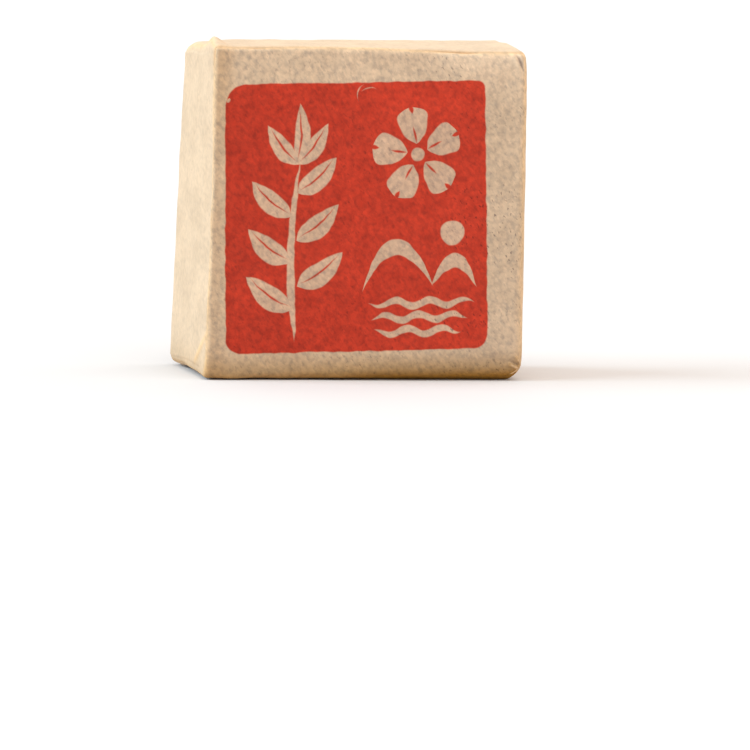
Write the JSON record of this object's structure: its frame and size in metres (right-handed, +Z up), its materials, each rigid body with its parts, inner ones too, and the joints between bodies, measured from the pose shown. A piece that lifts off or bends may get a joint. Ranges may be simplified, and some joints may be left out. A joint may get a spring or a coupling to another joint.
{
  "type": "paper-wrapped pu erh tea brick",
  "caption": "Small square brick of pressed tea, shut in folded tan paper with a printed square on its face, standing on its lower edge.",
  "frame": {"origin": "middle of the foot, under the middle of the brick's box", "axes": "+Z up, printed face towards -Y, width along X, thickness along Y"},
  "size_m": [0.059, 0.0218, 0.0583],
  "materials": {
    "wrapper_paper": "matt unbleached tan paper with fine fibres, printed on one face with a red rounded square"
  },
  "bodies": {
    "root": {"wrapped_tea_brick": "wrapper_paper"}
  },
  "joints": []
}
